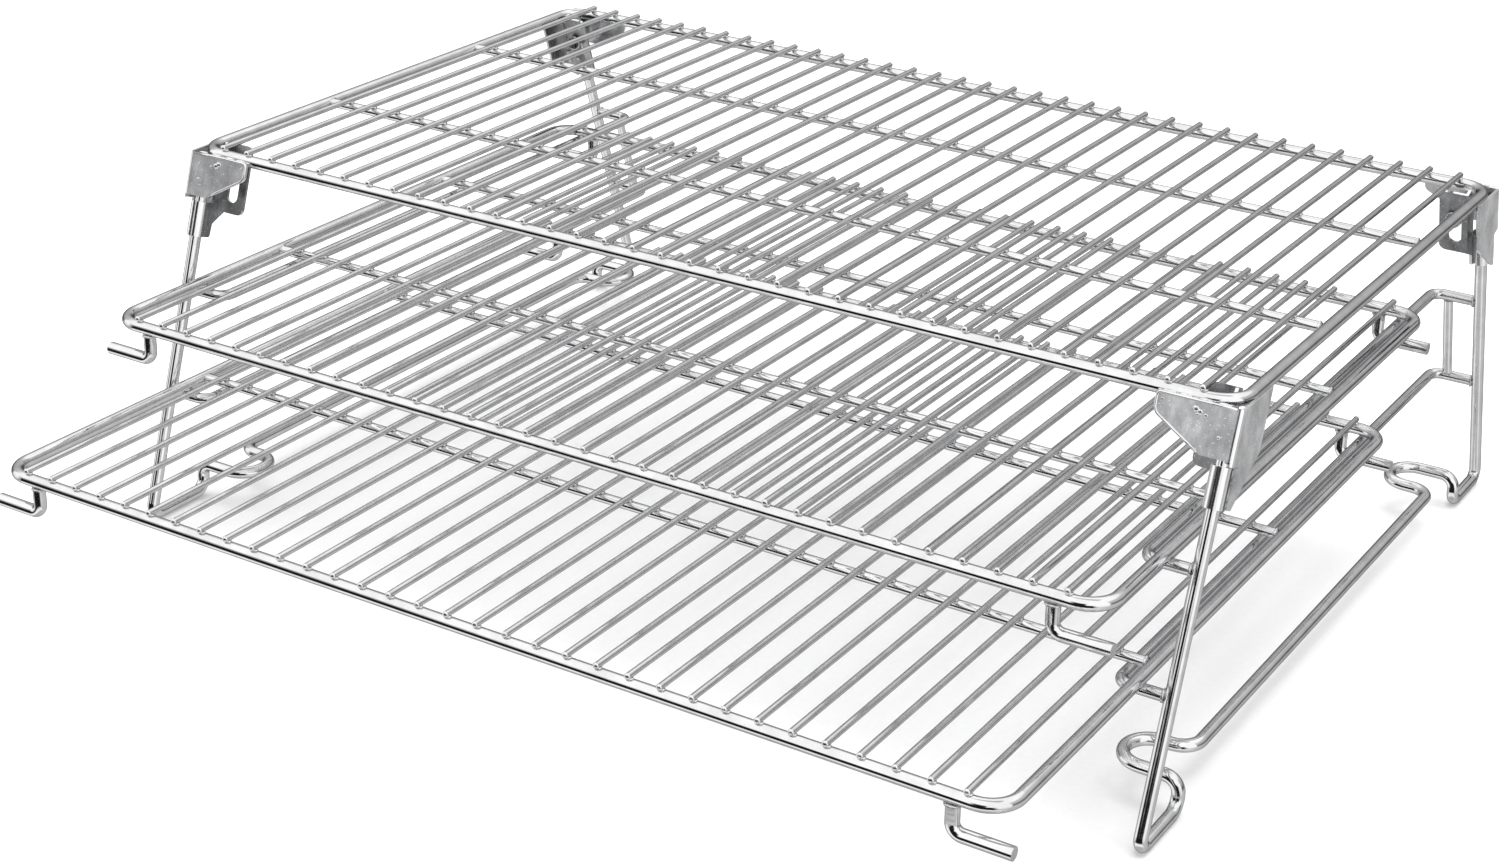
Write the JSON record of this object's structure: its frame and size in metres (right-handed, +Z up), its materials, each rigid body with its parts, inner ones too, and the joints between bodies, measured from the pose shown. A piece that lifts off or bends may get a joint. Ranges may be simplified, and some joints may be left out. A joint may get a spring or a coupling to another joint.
{
  "type": "cooling rack",
  "caption": "Three-level folding wire cooling rack: a raised grid on two wire leg frames, with two lower grids that slide out along side rails.",
  "frame": {"origin": "centre of the bounding box, at floor level", "axes": "+X along the racks, across the cross wires, to the right as seen from the front; +Y to the back, away from the side that the shelves are drawn out of; +Z up"},
  "size_m": [0.4642, 0.4426, 0.1552],
  "materials": {
    "chrome_wire": "bright",
    "zinc_sheet": "satin",
    "plated_pin": "satin"
  },
  "bodies": {
    "top_rack": {"front_left_bracket": "zinc_sheet", "front_left_pin": "plated_pin", "front_right_bracket": "zinc_sheet", "front_right_pin": "plated_pin", "rear_left_bracket": "zinc_sheet", "rear_left_pin": "plated_pin", "rear_right_bracket": "zinc_sheet", "rear_right_pin": "plated_pin", "top_cross_wires": "chrome_wire", "top_frame": "chrome_wire", "top_front_support": "chrome_wire", "top_rear_support": "chrome_wire"},
    "right_leg_frame": {"front_right_leg_plate": "zinc_sheet", "rear_right_leg_plate": "zinc_sheet", "right_leg_wire": "chrome_wire", "right_lower_rail": "chrome_wire", "right_tie": "chrome_wire", "right_upper_rail": "chrome_wire"},
    "left_leg_frame": {"front_left_leg_plate": "zinc_sheet", "left_leg_wire": "chrome_wire", "left_lower_rail": "chrome_wire", "left_tie": "chrome_wire", "left_upper_rail": "chrome_wire", "rear_left_leg_plate": "zinc_sheet"},
    "middle_shelf": {"front_left_middle_hook": "chrome_wire", "front_right_middle_hook": "chrome_wire", "middle_cross_wires": "chrome_wire", "middle_frame": "chrome_wire", "middle_front_support": "chrome_wire", "middle_rear_support": "chrome_wire", "rear_left_middle_hook": "chrome_wire", "rear_right_middle_hook": "chrome_wire"},
    "bottom_shelf": {"bottom_cross_wires": "chrome_wire", "bottom_frame": "chrome_wire", "bottom_front_support": "chrome_wire", "bottom_rear_support": "chrome_wire", "front_left_bottom_hook": "chrome_wire", "front_right_bottom_hook": "chrome_wire", "rear_left_bottom_hook": "chrome_wire", "rear_right_bottom_hook": "chrome_wire"}
  },
  "joints": [
    {"name": "middle_shelf_slide", "type": "slide", "parent": "top_rack", "child": "middle_shelf", "axis": [0, 1, 0], "range_m": [-0.225, 0.04]},
    {"name": "bottom_shelf_slide", "type": "slide", "parent": "top_rack", "child": "bottom_shelf", "axis": [0, 1, 0], "range_m": [-0.215, 0.08]},
    {"name": "right_leg_hinge", "type": "hinge", "parent": "top_rack", "child": "right_leg_frame", "pos_m": [0.21915, 0.0427, 0.139], "axis": [0, 1, 0], "range_deg": [0, 1]},
    {"name": "left_leg_hinge", "type": "hinge", "parent": "top_rack", "child": "left_leg_frame", "pos_m": [-0.21915, 0.0427, 0.139], "axis": [0, -1, 0], "range_deg": [0, 1]}
  ]
}
